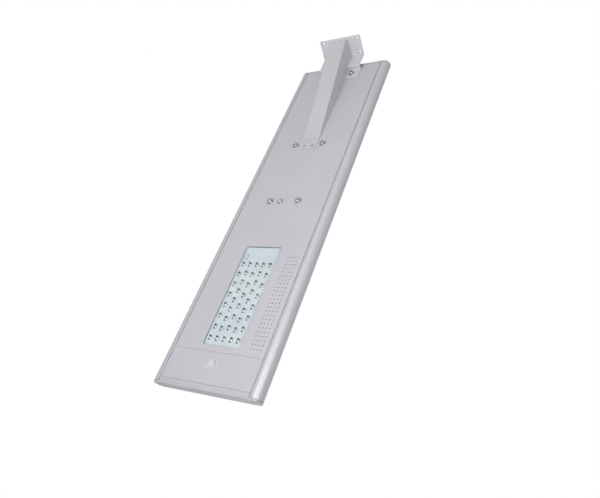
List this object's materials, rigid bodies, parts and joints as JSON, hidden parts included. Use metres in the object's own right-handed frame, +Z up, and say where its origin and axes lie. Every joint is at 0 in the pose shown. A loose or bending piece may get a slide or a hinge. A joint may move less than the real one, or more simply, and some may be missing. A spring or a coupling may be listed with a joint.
{
  "type": "solar street lamp",
  "caption": "All-in-one solar street lamp: flat housing with solar panel above, LED field and motion sensor below, on a folded pole bracket.",
  "frame": {"origin": "centre of the pole plate's four-hole pattern, on the face that meets the pole", "axes": "+Z up as installed, +X away from the pole, the lamp's foot end towards +X and raised, +Y across the lamp"},
  "size_m": [1.1783, 0.37, 0.6518],
  "materials": {
    "rail_alu": "anodised, satin extrusion",
    "cap_alu": "satin, darker than the rails",
    "cover_alu": "fine silver coat",
    "bracket_paint": "light grey powder coat",
    "steel": "plain stainless",
    "panel_glass": "clear tempered",
    "cell_mono": "dark blue-black silicon",
    "panel_black": "black",
    "silver_ribbon": "tinned",
    "seal_rubber": "black silicone",
    "lens_clear": "clear moulded lens",
    "board_white": "white solder mask",
    "led_phosphor": "yellow phosphor",
    "heat_alu": "plain sheet",
    "mesh_dark": "dark breather cloth",
    "dome_plastic": "milky sensor lens",
    "board_green": "green solder mask",
    "battery_wrap": "blue shrink wrap",
    "case_grey": "moulded",
    "cable_black": "black jacket",
    "switch_black": "moulded",
    "button_grey": "moulded",
    "plate_zinc": "zinc plated"
  },
  "bodies": {
    "lamp": {"side_rail_left": "rail_alu", "side_rail_right": "rail_alu", "end_cap_pole": "cap_alu", "end_cap_foot": "cap_alu", "end_gaskets": "seal_rubber", "end_cap_screws": "steel", "bottom_cover": "cover_alu", "sensor_cover": "cover_alu", "cover_joint_bar": "heat_alu", "vent_mesh": "mesh_dark", "lens_plate": "lens_clear", "lens_seal": "seal_rubber", "led_board": "board_white", "led_chips": "led_phosphor", "heat_plate": "heat_alu", "cover_studs": "heat_alu", "led_nuts": "steel", "led_leads": "cable_black", "pir_dome": "dome_plastic", "pir_ring": "dome_plastic", "pir_housing": "case_grey", "pir_board": "board_green", "pir_sensor": "steel", "switch_bezel": "cover_alu", "switch_body": "steel", "switch_nut": "steel", "switch_contacts": "switch_black", "solar_glass": "panel_glass", "solar_cells": "cell_mono", "encapsulant": "panel_black", "cell_ribbons": "silver_ribbon", "panel_backsheet": "panel_black", "panel_seal": "seal_rubber", "panel_junction_box": "switch_black", "battery_tray": "plate_zinc", "battery_cells": "battery_wrap", "battery_links": "silver_ribbon", "battery_straps": "plate_zinc", "guard_posts": "heat_alu", "guard_board": "board_green", "controller_case": "case_grey", "controller_lid": "case_grey", "controller_board": "board_green", "controller_screws": "steel", "battery_cable": "cable_black", "panel_cable": "cable_black", "led_cable": "cable_black", "sensor_cable": "cable_black", "bracket_plate": "bracket_paint", "bracket_rib": "bracket_paint", "backing_plate": "plate_zinc", "bolt_washers": "steel", "bracket_bolts": "steel", "bolt_nuts": "steel", "rib_foot_screws": "steel"},
    "button": {"power_button": "button_grey"}
  },
  "joints": [
    {"name": "power_press", "type": "slide", "parent": "lamp", "child": "button", "axis": [-0.4067, 0, 0.9135], "range_m": [0, 0.002], "stiffness_N_per_m": 400, "springref_m": -0.001}
  ]
}
